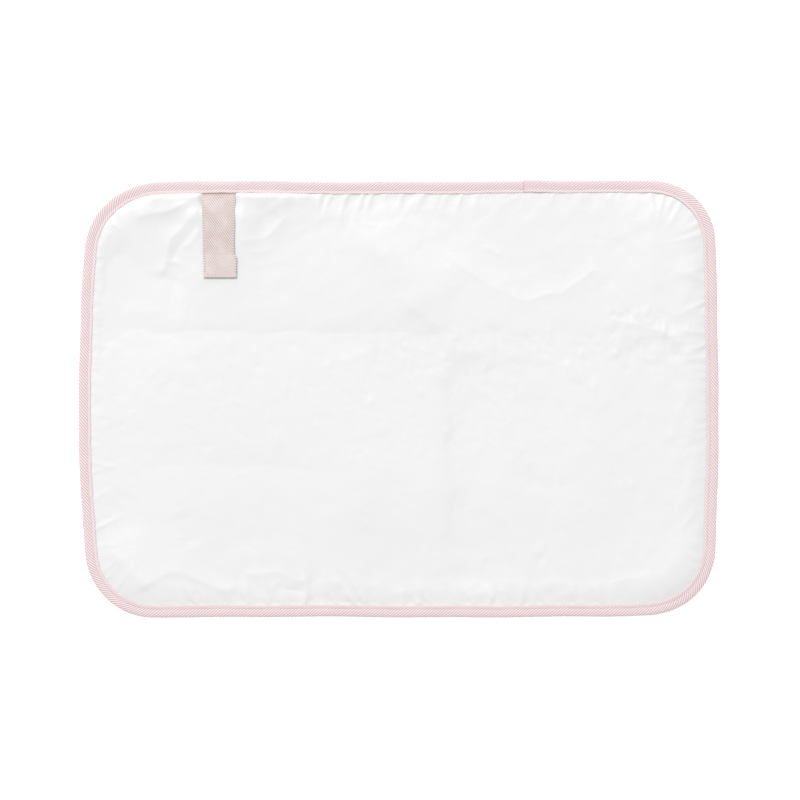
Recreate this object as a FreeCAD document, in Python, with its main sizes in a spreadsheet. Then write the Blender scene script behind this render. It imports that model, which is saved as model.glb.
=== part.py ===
import FreeCAD, Part
import math
import os

import Sketcher

# Padded changing mat, opened flat with the wipe-clean face up. Millimetres.
# X runs along the long side, Y towards the edge that holds the closing tab, Z up from the table.
# The cloth pieces are cut at the two lengthwise creases, because each third of the mat moves as one body.

SIZES = {
    # outline
    "pad_width": 600.0,
    "pad_depth": 409.0,
    "left_side_radius": 1720.0,
    "right_side_radius": 3600.0,
    "corner_top_left": 70.0,
    "corner_top_right": 60.0,
    "corner_bottom_left": 63.0,
    "corner_bottom_right": 66.0,
    # layers
    "tape_thickness": 0.8,
    "cover_thickness": 0.4,
    "rim_fill_thickness": 0.8,
    "fill_rise": 4.2,
    "layer_inset": 1.0,
    "rise_inset": 13.0,
    "crown_inset": 37.0,
    # binding tape, folded round the raw edges
    "binding_inset": 0.0,
    "binding_flange": 12.5,
    "binding_edge_round": 1.2,
    "join_position": 118.0,
    "join_length": 18.0,
    "join_inner_inset": 9.5,
    "join_outer_inset": 1.6,
    "join_thickness": 0.5,
    # stitching
    "thread_width": 0.5,
    "thread_height": 0.15,
    "seam_inset": 10.0,
    "seam_inner_inset": 10.5,
    "patch_seam_margin": 2.0,
    # creases that split the mat in thirds
    "crease_position": 68.0,
    "crease_gap": 0.4,
    # closing tab
    "tab_position": 168.0,
    "tab_width": 30.0,
    "tab_thickness": 0.9,
    "tab_end": 112.5,
    "tab_bend": 164.0,
    "tab_start": 191.3,
    "tab_clearance": 0.3,
    "tab_lift": 0.45,
    "sewn_end_length": 11.0,
    "sewn_end_thickness": 0.4,
    # hook and loop fastening
    "hook_width": 27.0,
    "hook_length": 22.0,
    "hook_thickness": 0.8,
    "hook_margin": 1.5,
    "loop_width": 30.0,
    "loop_length": 50.0,
    "loop_thickness": 0.6,
    "loop_position": 36.0,
    "patch_corner": 2.0,
}

# heights of the stack, bottom to top, as sheet expressions
BACK_BOTTOM = "sizes.tape_thickness"
FILL_BOTTOM = BACK_BOTTOM + " + sizes.cover_thickness"
RIM_FILL_TOP = FILL_BOTTOM + " + sizes.rim_fill_thickness"
RIM_COVER_TOP = RIM_FILL_TOP + " + sizes.cover_thickness"
BINDING_TOP = RIM_COVER_TOP + " + sizes.tape_thickness"
COVER_TOP = RIM_COVER_TOP + " + sizes.fill_rise"
HOOK_BOTTOM = COVER_TOP + " + sizes.tab_clearance"
TAB_BOTTOM = HOOK_BOTTOM + " + sizes.hook_thickness"
TAB_TOP = TAB_BOTTOM + " + sizes.tab_thickness"

ORIGIN = (-1, 1)
X_AXIS = -1
CLOSE = FreeCAD.Vector(0, 0, 1)

doc = FreeCAD.newDocument("changing_pad")
sheet = doc.addObject("Spreadsheet::Sheet", "sizes")
for row, (alias, value) in enumerate(SIZES.items(), start=1):
    sheet.set("A%d" % row, alias)
    sheet.set("B%d" % row, str(value))
    sheet.setAlias("B%d" % row, alias)
doc.recompute()

nodes = []


def keep(shape_object, label):
    """Marks an object as one sub-part of the mat."""
    shape_object.Label = label
    nodes.append(shape_object)
    return shape_object


# ---------------------------------------------------------------- sketch helpers


def new_body(name):
    return doc.addObject("PartDesign::Body", name)


def new_sketch(body, name, plane="XY_Plane", height=None):
    """A sketch on one of the body's own origin planes, lifted by a sheet expression."""
    sketch = body.newObject("Sketcher::SketchObject", name)
    planes = [feature for feature in body.Origin.OriginFeatures if feature.Role == plane]
    sketch.AttachmentSupport = [(planes[0], "")]
    sketch.MapMode = "FlatFace"
    if height:
        sketch.setExpression("AttachmentOffset.Base.z", height)
    return sketch


def constrain(sketch, expression, *arguments):
    """Adds a dimension whose size comes from the sheet."""
    index = sketch.addConstraint(Sketcher.Constraint(*arguments))
    sketch.setExpression("Constraints[%d]" % index, expression)


def corner(side_radius, corner_radius):
    """Centre of a corner arc and the angle at which it meets its bowed side, for the +X +Y corner."""
    side_centre = SIZES["pad_width"] / 2 - side_radius
    up = SIZES["pad_depth"] / 2 - corner_radius
    reach = side_radius - corner_radius
    across = side_centre + math.sqrt(reach * reach - up * up)
    return across, up, math.atan2(up, across - side_centre)


def arc(centre_x, centre_y, radius, start, end):
    circle = Part.Circle(FreeCAD.Vector(centre_x, centre_y, 0), CLOSE, radius)
    return Part.ArcOfCircle(circle, start, end)


def add_outline(sketch, inset_alias):
    """Draws the mat's outline, moved in from the outer edge by one size of the sheet."""
    inset = SIZES[inset_alias]
    left = SIZES["left_side_radius"]
    right = SIZES["right_side_radius"]
    half_width = SIZES["pad_width"] / 2
    half_depth = SIZES["pad_depth"] / 2
    top_right = corner(right, SIZES["corner_top_right"])
    top_left = corner(left, SIZES["corner_top_left"])
    bottom_left = corner(left, SIZES["corner_bottom_left"])
    bottom_right = corner(right, SIZES["corner_bottom_right"])
    quarter = math.pi / 2
    top = half_depth - inset
    pieces = [
        arc(half_width - right, 0, right - inset, -bottom_right[2], top_right[2]),
        arc(top_right[0], top_right[1], SIZES["corner_top_right"] - inset, top_right[2], quarter),
        Part.LineSegment(FreeCAD.Vector(top_right[0], top, 0), FreeCAD.Vector(-top_left[0], top, 0)),
        arc(-top_left[0], top_left[1], SIZES["corner_top_left"] - inset, quarter, math.pi - top_left[2]),
        arc(left - half_width, 0, left - inset, math.pi - top_left[2], math.pi + bottom_left[2]),
        arc(-bottom_left[0], -bottom_left[1], SIZES["corner_bottom_left"] - inset,
            math.pi + bottom_left[2], 3 * quarter),
        Part.LineSegment(FreeCAD.Vector(-bottom_left[0], -top, 0),
                         FreeCAD.Vector(bottom_right[0], -top, 0)),
        arc(bottom_right[0], -bottom_right[1], SIZES["corner_bottom_right"] - inset,
            3 * quarter, 2 * math.pi - bottom_right[2]),
    ]
    first = sketch.GeometryCount
    for piece in pieces:
        sketch.addGeometry(piece, False)
    edges = range(first, first + len(pieces))
    side_right, corner_tr, line_top, corner_tl, side_left, corner_bl, line_bottom, corner_br = edges
    for number in range(len(pieces)):
        following = first + (number + 1) % len(pieces)
        sketch.addConstraint(Sketcher.Constraint("Tangent", first + number, 2, following, 1))
    for line in (line_top, line_bottom):
        sketch.addConstraint(Sketcher.Constraint("Horizontal", line))
    for side in (side_right, side_left):
        sketch.addConstraint(Sketcher.Constraint("PointOnObject", side, 3, X_AXIS))
    moved_in = " - sizes." + inset_alias
    half = "sizes.pad_depth / 2" + moved_in
    constrain(sketch, half, "DistanceY", *ORIGIN, line_top, 1, top)
    constrain(sketch, half, "DistanceY", line_bottom, 1, *ORIGIN, top)
    constrain(sketch, "sizes.right_side_radius - sizes.pad_width / 2",
              "DistanceX", side_right, 3, *ORIGIN, right - half_width)
    constrain(sketch, "sizes.left_side_radius - sizes.pad_width / 2",
              "DistanceX", *ORIGIN, side_left, 3, left - half_width)
    for piece, alias in (
        (side_right, "right_side_radius"),
        (side_left, "left_side_radius"),
        (corner_tr, "corner_top_right"),
        (corner_tl, "corner_top_left"),
        (corner_bl, "corner_bottom_left"),
        (corner_br, "corner_bottom_right"),
    ):
        constrain(sketch, "sizes." + alias + moved_in, "Radius", piece, SIZES[alias] - inset)


def add_rectangle(sketch, width, length):
    """A rectangle centred on the sketch origin, both sizes sheet expressions."""
    corners = [(-1, -1), (1, -1), (1, 1), (-1, 1)]
    first = sketch.GeometryCount
    for number in range(4):
        start = FreeCAD.Vector(10 * corners[number][0], 10 * corners[number][1], 0)
        end = FreeCAD.Vector(10 * corners[(number + 1) % 4][0], 10 * corners[(number + 1) % 4][1], 0)
        sketch.addGeometry(Part.LineSegment(start, end), False)
    for number in range(4):
        following = first + (number + 1) % 4
        sketch.addConstraint(Sketcher.Constraint("Coincident", first + number, 2, following, 1))
        direction = "Horizontal" if number % 2 == 0 else "Vertical"
        sketch.addConstraint(Sketcher.Constraint(direction, first + number))
    sketch.addConstraint(Sketcher.Constraint("Symmetric", first, 1, first + 2, 1, *ORIGIN))
    constrain(sketch, width, "DistanceX", first, 1, first, 2, 20.0)
    constrain(sketch, length, "DistanceY", first + 1, 1, first + 1, 2, 20.0)


def add_polygon(sketch, points):
    """A closed polygon; every point is a rough start and the two sheet expressions that place it."""
    first = sketch.GeometryCount
    count = len(points)
    for number in range(count):
        start = points[number][0]
        end = points[(number + 1) % count][0]
        sketch.addGeometry(Part.LineSegment(FreeCAD.Vector(*start, 0), FreeCAD.Vector(*end, 0)), False)
    for number in range(count):
        following = first + (number + 1) % count
        sketch.addConstraint(Sketcher.Constraint("Coincident", first + number, 2, following, 1))
    for number, (start, across, up) in enumerate(points):
        constrain(sketch, across, "DistanceX", *ORIGIN, first + number, 1, start[0])
        constrain(sketch, up, "DistanceY", *ORIGIN, first + number, 1, start[1])


# ---------------------------------------------------------------- feature helpers


def pad(body, name, sketch, length, both_ways=False):
    feature = body.newObject("PartDesign::Pad", name)
    feature.Profile = sketch
    feature.Midplane = both_ways
    feature.setExpression("Length", length)
    sketch.Visibility = False
    doc.recompute()
    return feature


def pocket(body, name, sketch, length):
    """Cuts down from the sketch and stops the build if nothing was removed."""
    before = body.Shape.Volume
    feature = body.newObject("PartDesign::Pocket", name)
    feature.Profile = sketch
    feature.setExpression("Length", length)
    sketch.Visibility = False
    doc.recompute()
    if body.Shape.Volume > before - 1.0:
        raise RuntimeError(name + " cut nothing")
    return feature


def level_face(shape, height):
    """Name of the flat face that lies at the given height."""
    for number, face in enumerate(shape.Faces, start=1):
        box = face.BoundBox
        if box.ZLength < 1e-6 and abs(box.ZMin - height) < 1e-6:
            return "Face%d" % number
    raise RuntimeError("no flat face at %.3f" % height)


def domed_form(name, bottom, rim_top, top):
    """The mat's outline with a thin rim and a raised middle with a long sloped margin."""
    body = new_body(name)
    flat = new_sketch(body, name + "_outline", height=bottom)
    add_outline(flat, "layer_inset")
    pad(body, name + "_rim", flat, rim_top + " - (" + bottom + ")")
    foot = new_sketch(body, name + "_foot", height=rim_top)
    add_outline(foot, "rise_inset")
    head = new_sketch(body, name + "_head", height=top)
    add_outline(head, "crown_inset")
    dome = body.newObject("PartDesign::AdditiveLoft", name + "_dome")
    dome.Profile = foot
    dome.Sections = [head]
    dome.Ruled = True
    foot.Visibility = False
    head.Visibility = False
    doc.recompute()
    return body


def flat_ring(name, outer, inner, bottom, height):
    """A thin ring that follows the outline between two insets."""
    body = new_body(name)
    sketch = new_sketch(body, name + "_path", height=bottom)
    add_outline(sketch, outer)
    add_outline(sketch, inner)
    pad(body, name + "_cord", sketch, height)
    return body


def rectangle_plate(label, width, length, thickness):
    """A sewn-on patch with rounded corners, bottom on its own XY plane."""
    body = new_body(label)
    sketch = new_sketch(body, label + "_outline")
    add_rectangle(sketch, width, length)
    plate = pad(body, label + "_plate", sketch, thickness)
    upright = [
        "Edge%d" % number
        for number, edge in enumerate(plate.Shape.Edges, start=1)
        if edge.BoundBox.XLength < 1e-6 and edge.BoundBox.YLength < 1e-6
    ]
    rounding = body.newObject("PartDesign::Fillet", label + "_corners")
    rounding.Base = (plate, upright)
    rounding.setExpression("Radius", "sizes.patch_corner")
    doc.recompute()
    return keep(body, label)


def rectangle_seam(label, width, length):
    """A closed line of stitching, drawn as one flat cord."""
    body = new_body(label)
    sketch = new_sketch(body, label + "_path")
    add_rectangle(sketch, width, length)
    add_rectangle(sketch, width + " - 2 * sizes.thread_width", length + " - 2 * sizes.thread_width")
    pad(body, label + "_cord", sketch, "sizes.thread_height")
    return keep(body, label)


def place(part, **position):
    """Moves a sub-part; each of x, y and z is a sheet expression."""
    for axis, expression in position.items():
        part.setExpression("Placement.Base." + axis, expression)


def box(name, length, width, height, **position):
    solid = doc.addObject("Part::Box", name)
    solid.setExpression("Length", length)
    solid.setExpression("Width", width)
    solid.setExpression("Height", height)
    place(solid, **position)
    return solid


def boolean(kind, name, base, tool):
    result = doc.addObject("Part::" + kind, name)
    result.Base = base
    result.Tool = tool
    return result


# ---------------------------------------------------------------- the three thirds of the mat

THIRD_HEIGHT = "20"
FREE = "sizes.crease_position + sizes.crease_gap / 2"
INNER = "sizes.crease_position - sizes.crease_gap / 2"
END_DEPTH = "sizes.pad_depth / 2 - (" + FREE + ") + 1"

thirds = {
    "upper": dict(width=END_DEPTH, y=FREE),
    "middle": dict(width="2 * (" + INNER + ")", y="-(" + INNER + ")"),
    "lower": dict(width=END_DEPTH, y="-(" + FREE + ") - (" + END_DEPTH + ")"),
}


def third_box(name, which, x="-sizes.pad_width", length="2 * sizes.pad_width"):
    size = thirds[which]
    return box(name, length, size["width"], THIRD_HEIGHT, x=x, y=size["y"], z="-2")


def cut_in_thirds(form, label, places=("upper", "middle", "lower")):
    """One named piece of a layer for each third of the mat."""
    for which in places:
        cutter = third_box("%s_%s_third" % (label, which), which)
        piece = boolean("Common", label + "_" + which, form, cutter)
        keep(piece, label + "_" + which)


# layers: back cover, wadding, front cover
back_form = new_body("back_form")
back_outline = new_sketch(back_form, "back_outline", height=BACK_BOTTOM)
add_outline(back_outline, "layer_inset")
pad(back_form, "back_sheet", back_outline, "sizes.cover_thickness")
cut_in_thirds(back_form, "back_cover")

fill_form = domed_form("fill_form", FILL_BOTTOM, RIM_FILL_TOP, RIM_FILL_TOP + " + sizes.fill_rise")
cut_in_thirds(fill_form, "wadding")

cover_form = domed_form("cover_form", FILL_BOTTOM, RIM_COVER_TOP, COVER_TOP)
front_form = boolean("Cut", "front_form", cover_form, fill_form)
cut_in_thirds(front_form, "front_cover")

# binding tape: a channel that closes over all the raw edges
binding_form = new_body("binding_form")
binding_outline = new_sketch(binding_form, "binding_outline")
add_outline(binding_outline, "binding_inset")
block = pad(binding_form, "binding_block", binding_outline, BINDING_TOP)
edge_round = binding_form.newObject("PartDesign::Fillet", "binding_edge_round")
block_top = block.Shape.BoundBox.ZMax
edge_round.Base = (block, [level_face(block.Shape, 0.0), level_face(block.Shape, block_top)])
edge_round.setExpression("Radius", "sizes.binding_edge_round")
doc.recompute()
opening = new_sketch(binding_form, "binding_opening", height=BINDING_TOP)
add_outline(opening, "binding_flange")
pocket(binding_form, "binding_middle", opening, BINDING_TOP)
channel = new_sketch(binding_form, "binding_channel", height=RIM_COVER_TOP)
add_outline(channel, "tape_thickness")
pocket(binding_form, "binding_fold", channel, RIM_COVER_TOP + " - (" + BACK_BOTTOM + ")")

binding_plain = boolean("Common", "binding_plain", binding_form, third_box("binding_upper_third", "upper"))

# the tape's two ends overlap on the long edge, right of the middle
join = box(
    "binding_join", "sizes.join_length", "sizes.join_inner_inset - sizes.join_outer_inset",
    "sizes.join_thickness", x="sizes.join_position",
    y="sizes.pad_depth / 2 - sizes.join_inner_inset", z=BINDING_TOP)
binding_joined = boolean("Fuse", "binding_joined", binding_plain, join)

# the tab's sewn end is caught under the tape
sewn_end = box(
    "tab_sewn_end", "sizes.tab_width", "sizes.sewn_end_length", "sizes.sewn_end_thickness",
    x="-sizes.tab_position - sizes.tab_width / 2",
    y="sizes.pad_depth / 2 - sizes.binding_flange", z=RIM_COVER_TOP)
keep(sewn_end, "tab_sewn_end")
keep(boolean("Cut", "binding_upper", binding_joined, sewn_end), "binding_upper")

cut_in_thirds(binding_form, "binding", places=("lower",))
for side, start in (("left", "-sizes.pad_width"), ("right", "0")):
    half_third = third_box("binding_%s_third" % side, "middle", x=start, length="sizes.pad_width")
    keep(boolean("Common", "binding_" + side, binding_form, half_third), "binding_" + side)

# topstitching along the inner edge of the tape
seam_form = flat_ring("seam_form", "seam_inset", "seam_inner_inset", BINDING_TOP, "sizes.thread_height")
cut_in_thirds(seam_form, "binding_thread")

# ---------------------------------------------------------------- closing tab

TAB_UNDER = RIM_COVER_TOP + " + sizes.tab_lift"
tab = new_body("tab_webbing")
profile = new_sketch(tab, "tab_profile", plane="YZ_Plane")
add_polygon(profile, [
    ((191.0, 3.0), "sizes.tab_start", TAB_UNDER),
    ((191.0, 4.0), "sizes.tab_start", TAB_UNDER + " + sizes.tab_thickness"),
    ((164.0, 9.0), "sizes.tab_bend", TAB_TOP),
    ((112.0, 9.0), "sizes.tab_end", TAB_TOP),
    ((112.0, 8.0), "sizes.tab_end", TAB_BOTTOM),
    ((164.0, 8.0), "sizes.tab_bend", TAB_BOTTOM),
])
pad(tab, "tab_strip", profile, "sizes.tab_width", both_ways=True)
place(tab, x="-sizes.tab_position")
keep(tab, "tab_webbing")

HOOK_MIDDLE = "sizes.tab_end + sizes.hook_margin + sizes.hook_length / 2"
hooks = rectangle_plate("hook_patch", "sizes.hook_width", "sizes.hook_length", "sizes.hook_thickness")
place(hooks, x="-sizes.tab_position", y=HOOK_MIDDLE, z=HOOK_BOTTOM)
hook_seam = rectangle_seam(
    "hook_patch_thread",
    "sizes.hook_width - sizes.patch_seam_margin",
    "sizes.hook_length - sizes.patch_seam_margin")
place(hook_seam, x="-sizes.tab_position", y=HOOK_MIDDLE, z=TAB_TOP)

# the patch the tab closes on, sewn to the back of the middle third
loops = rectangle_plate("loop_patch", "sizes.loop_width", "sizes.loop_length", "sizes.loop_thickness")
place(loops, x="-sizes.tab_position", y="-sizes.loop_position", z=BACK_BOTTOM + " - sizes.loop_thickness")
loop_seam = rectangle_seam(
    "loop_patch_thread",
    "sizes.loop_width - sizes.patch_seam_margin",
    "sizes.loop_length - sizes.patch_seam_margin")
place(loop_seam, x="-sizes.tab_position", y="-sizes.loop_position",
      z=BACK_BOTTOM + " - sizes.loop_thickness - sizes.thread_height")

# ---------------------------------------------------------------- check and write

doc.recompute()
for item in doc.Objects:
    if "Invalid" in item.State or "Error" in item.State:
        raise RuntimeError("%s did not compute: %s" % (item.Name, item.State))
os.makedirs("parts", exist_ok=True)
for node in nodes:
    shape = node.Shape
    if shape.isNull() or not shape.isValid() or not shape.Solids:
        raise RuntimeError(node.Label + " is not a valid solid")
    shape.exportStep("parts/%s.step" % node.Label)
    box_of = shape.BoundBox
    print("%-22s solids %d volume %10.1f  x %.1f..%.1f y %.1f..%.1f z %.2f..%.2f" % (
        node.Label, len(shape.Solids), shape.Volume, box_of.XMin, box_of.XMax,
        box_of.YMin, box_of.YMax, box_of.ZMin, box_of.ZMax))
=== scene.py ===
import math

import bpy
import numpy as np
from mathutils.kdtree import KDTree
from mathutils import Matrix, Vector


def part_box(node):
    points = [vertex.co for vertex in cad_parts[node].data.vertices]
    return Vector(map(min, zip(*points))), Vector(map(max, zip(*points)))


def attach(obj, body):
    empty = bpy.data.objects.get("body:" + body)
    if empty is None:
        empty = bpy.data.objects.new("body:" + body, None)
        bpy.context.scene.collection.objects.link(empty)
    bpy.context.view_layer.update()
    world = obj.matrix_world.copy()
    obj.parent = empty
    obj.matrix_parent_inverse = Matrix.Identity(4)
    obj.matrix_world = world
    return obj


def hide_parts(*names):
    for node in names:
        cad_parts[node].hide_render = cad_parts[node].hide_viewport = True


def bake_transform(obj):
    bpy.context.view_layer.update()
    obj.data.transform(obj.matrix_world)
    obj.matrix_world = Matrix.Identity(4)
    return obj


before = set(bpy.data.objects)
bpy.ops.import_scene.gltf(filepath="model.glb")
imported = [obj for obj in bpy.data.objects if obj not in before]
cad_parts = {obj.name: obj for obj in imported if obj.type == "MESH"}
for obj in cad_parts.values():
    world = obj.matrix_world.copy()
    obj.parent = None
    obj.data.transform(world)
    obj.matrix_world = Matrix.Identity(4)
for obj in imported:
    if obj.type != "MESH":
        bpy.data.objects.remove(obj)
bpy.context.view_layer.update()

# Padded changing mat: the cloth over the CAD frame. Shapes are worked out in millimetres in the row frame
# (X along the long side, Y towards the closing tab, Z up) and turned into metres when a mesh is made.

random = np.random.default_rng(11)

MM = 0.001

# outline, as in the CAD model
HALF_WIDTH = 300.0
HALF_DEPTH = 204.5
LEFT_SIDE_RADIUS = 1720.0
RIGHT_SIDE_RADIUS = 3600.0
CORNER_TOP_RIGHT = 60.0
CORNER_TOP_LEFT = 70.0
CORNER_BOTTOM_LEFT = 63.0
CORNER_BOTTOM_RIGHT = 66.0

# layers
BINDING_WIDTH = 11.5
SEAM_INSET = 8.2
COVER_HEM_INSET = 5.0
COVER_RIM_HEIGHT = 2.45
COVER_HEM_TOP = 2.55
COVER_FLOOR = 1.75
COVER_CEILING = 8.2
BACK_HEIGHT = 0.95
WADDING_GAP = 0.45
SEAM_TOP = 2.92
SEAM_BOTTOM = 0.28

# cloth grid
CELL = 2.5
SIM_FRAMES = 18

# closing tab: its middle, width, free end and caught end, and the cover's height before and below it
TAB_X = -168.0
TAB_WIDTH = 30.0
TAB_END = 113.4
TAB_ROOT = 203.0
MOUND_HEIGHT = 6.2
TAB_BED = 6.35


# ---------------------------------------------------------------- outline


def corner_centre(side_radius, corner_radius):
    """Centre of a corner arc, and the angle at which it meets its bowed side, for the +X +Y corner."""
    side_centre = HALF_WIDTH - side_radius
    up = HALF_DEPTH - corner_radius
    across = side_centre + math.sqrt((side_radius - corner_radius) ** 2 - up ** 2)
    return across, up, math.atan2(up, across - side_centre)


def arc_points(centre, radius, start, end, step):
    count = max(2, int(math.ceil(abs(end - start) * radius / step)))
    angle = np.linspace(start, end, count, endpoint=False)
    normal = np.stack([np.cos(angle), np.sin(angle)], -1)
    return np.array(centre) + radius * normal, normal


def line_points(start, end, normal, step):
    count = max(2, int(math.ceil(math.dist(start, end) / step)))
    share = np.linspace(0, 1, count, endpoint=False)[:, None]
    points = np.array(start) * (1 - share) + np.array(end) * share
    return points, np.repeat([normal], count, axis=0)


def half_outline(first, second, step):
    """The outer edge counterclockwise, from the middle of one side over the +Y edge to the middle of the
    next: points and outward normals. Each side is given by its own radius and that of its corner."""
    across, up, meet = corner_centre(*first)
    next_across, next_up, next_meet = corner_centre(*second)
    quarter, half = math.pi / 2, math.pi
    pieces = [
        arc_points((HALF_WIDTH - first[0], 0.0), first[0], 0.0, meet, step),
        arc_points((across, up), first[1], meet, quarter, step),
        line_points((across, HALF_DEPTH), (-next_across, HALF_DEPTH), (0.0, 1.0), step),
        arc_points((-next_across, next_up), second[1], quarter, half - next_meet, step),
        arc_points((second[0] - HALF_WIDTH, 0.0), second[0], half - next_meet, half, step),
    ]
    return [np.concatenate(column) for column in zip(*pieces)]


def outline(step):
    """Outer edge from the middle of the right side, counterclockwise: points, outward normals and the
    index of the middle of the left side."""
    upper = half_outline(
        (RIGHT_SIDE_RADIUS, CORNER_TOP_RIGHT), (LEFT_SIDE_RADIUS, CORNER_TOP_LEFT), step)
    lower = half_outline(
        (LEFT_SIDE_RADIUS, CORNER_BOTTOM_LEFT), (RIGHT_SIDE_RADIUS, CORNER_BOTTOM_RIGHT), step)
    points, normals = (np.concatenate([above, -below]) for above, below in zip(upper, lower))
    return points, normals, len(upper[0])


def distances(points):
    """Distance along a closed line at each of its points and back at the first, and its whole length."""
    steps = np.linalg.norm(np.roll(points, -1, axis=0) - points, axis=1)
    return np.concatenate([[0.0], np.cumsum(steps)]), float(steps.sum())


RIM_POINTS, RIM_NORMALS, _ = outline(1.0)
RIM_AT, RIM_LENGTH = distances(RIM_POINTS)
RIM_TREE = KDTree(len(RIM_POINTS))
for number, point in enumerate(RIM_POINTS):
    RIM_TREE.insert((point[0], point[1], 0.0), number)
RIM_TREE.balance()


def rim_place(x, y):
    """Inset from the outer edge and distance along it, for arrays of points."""
    flat = np.stack([np.ravel(x), np.ravel(y)], -1)
    nearest = np.array([RIM_TREE.find((px, py, 0.0))[1] for px, py in flat])
    away = RIM_POINTS[nearest] - flat
    normal = RIM_NORMALS[nearest]
    tangent = np.stack([-normal[:, 1], normal[:, 0]], -1)
    inset = (away * normal).sum(-1)
    along = RIM_AT[nearest] - (away * tangent).sum(-1)
    return inset.reshape(np.shape(x)), along.reshape(np.shape(x))


def rim_at(x, y):
    """Distance along the outer edge of the place nearest to a point."""
    return float(rim_place(np.array([x]), np.array([y]))[1][0])


def smooth(value, low, high):
    share = np.clip((value - low) / (high - low), 0.0, 1.0)
    return share * share * (3.0 - 2.0 * share)


def settle(points):
    """The real edge isn't a perfect drawing: small shifts in the plane, the same for every layer."""
    x, y = points[..., 0].copy(), points[..., 1].copy()
    edge_top = smooth(y, 90.0, 200.0)
    edge_low = smooth(-y, 120.0, 200.0)
    left_slack = np.exp(-((x + 238.0) / 42.0) ** 2) * 2.0
    waist = np.exp(-((x - 20.0) / 110.0) ** 2) * 1.3
    past_join = smooth(x, 112.0, 121.0) * np.exp(-np.clip(x - 121.0, 0, None) ** 2 / 90.0 ** 2) * 0.7
    points[..., 1] = y + edge_top * (past_join - left_slack - waist)
    points[..., 1] += edge_low * np.exp(-((x - 243.0) / 35.0) ** 2) * 1.5
    wobble = 0.35 * np.sin(x / 41.0 + 0.4) + 0.25 * np.sin(x / 17.0 + 2.0)
    points[..., 1] += (edge_top - edge_low) * wobble
    side = smooth(np.abs(x), 230.0, 296.0) * np.sign(x)
    points[..., 0] = x + side * (0.3 * np.sin(y / 33.0 + x * 0.01) + 0.2 * np.sin(y / 13.0))
    return points


# ---------------------------------------------------------------- meshes


def grid_faces(rows, columns, closed=False):
    index = np.arange(rows * columns).reshape(rows, columns)
    if closed:
        index = np.concatenate([index, index[:, :1]], axis=1)
    return np.stack([index[:-1, :-1], index[1:, :-1], index[1:, 1:], index[:-1, 1:]], -1).reshape(-1, 4)


def add_object(name, data):
    thing = bpy.data.objects.new(name, data)
    bpy.context.scene.collection.objects.link(thing)
    return thing


def make_mesh(name, parts, material, normals=None):
    """A smooth-shaded mesh object from points in millimetres, faces and texture places in metres, without the
    points that no face uses."""
    points, faces, uv = parts
    points = np.asarray(points, float).reshape(-1, 3)
    faces = [list(face) for face in faces]
    used = np.unique(np.concatenate([np.array(face) for face in faces]))
    renumber = np.full(len(points), -1)
    renumber[used] = np.arange(len(used))
    faces = [[int(renumber[corner]) for corner in face] for face in faces]
    mesh = bpy.data.meshes.new(name)
    mesh.from_pydata((points[used] * MM).tolist(), [], faces)
    mesh.shade_smooth()
    layer = mesh.uv_layers.new(name="UVMap")
    corners = np.empty(len(mesh.loops), np.int32)
    mesh.loops.foreach_get("vertex_index", corners)
    layer.data.foreach_set("uv", np.asarray(uv, float).reshape(-1, 2)[used][corners].ravel())
    if normals is not None:
        mesh.normals_split_custom_set_from_vertices(normals[used].tolist())
    mesh.update()
    mesh.materials.append(material)
    return add_object(name, mesh)


def vertex_normals(points, faces):
    normals = np.zeros_like(points)
    quads = points[faces]
    facing = np.cross(quads[:, 2] - quads[:, 0], quads[:, 3] - quads[:, 1])
    for corner in range(4):
        np.add.at(normals, faces[:, corner], facing)
    return normals / np.maximum(np.linalg.norm(normals, axis=1, keepdims=True), 1e-12)


def fold_with(upper, lower):
    """Bakes the placement of both halves into their points."""
    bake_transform(upper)
    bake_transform(lower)


def two_halves(name, points, faces, rest_y, material, uv):
    """Splits one cloth along the middle line, keeping its normals, so that each half crosses one crease."""
    points = np.asarray(points, float).reshape(-1, 3)
    faces = np.asarray(faces)
    normals = vertex_normals(points, faces)
    upper_side = np.ravel(rest_y)[faces].mean(axis=1) > 0
    upper = make_mesh(name + "_upper_half", (points, faces[upper_side], uv), material, normals)
    lower = make_mesh(name + "_lower_half", (points, faces[~upper_side], uv), material, normals)
    fold_with(upper, lower)
    return upper, lower


def closed_between(top, bottom, uv, quads):
    """Two layers of points joined by a wall round the chosen quads, which face out of the top one."""
    count = len(top)
    edges = np.stack([quads, np.roll(quads, -1, axis=1)], -1).reshape(-1, 2)
    once = {}
    for a, b in edges.tolist():
        key = (min(a, b), max(a, b))
        once[key] = None if key in once else (a, b)
    wall = [(b, a, a + count, b + count) for a, b in filter(None, once.values())]
    faces = quads.tolist() + (quads[:, ::-1] + count).tolist() + wall
    return np.concatenate([top, bottom]), faces, np.tile(uv, (2, 1))


def closed_plate(x, y, top, bottom, uv):
    """A closed strip or plate between two height grids."""
    layers = [np.stack([x, y, z], -1).reshape(-1, 3) for z in (top, bottom)]
    return closed_between(*layers, np.stack(uv, -1).reshape(-1, 2) * MM, grid_faces(*x.shape))


def add_up(pieces):
    """One set of points, faces and texture places from several."""
    points, faces, uvs, first = [], [], [], 0
    for piece_points, piece_faces, piece_uv in pieces:
        points.append(piece_points)
        faces.extend([corner + first for corner in face] for face in piece_faces)
        uvs.append(piece_uv)
        first += len(piece_points)
    return np.concatenate(points), faces, np.concatenate(uvs)


# ---------------------------------------------------------------- materials

PINK = (0.60, 0.447, 0.462)
PALE_PINK = (0.87, 0.735, 0.75)
STRIPE_PERIOD = 2.07 * MM
STRIPE_ANGLE = math.radians(40.0)
LIP_WIDTH = 3.1
WEBBING_SHADE = (0.415, 0.338, 0.322)
WEBBING_LIGHT = (0.69, 0.592, 0.574)
TWILL_ACROSS = 2.25
TWILL_ALONG = 3.28


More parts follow.
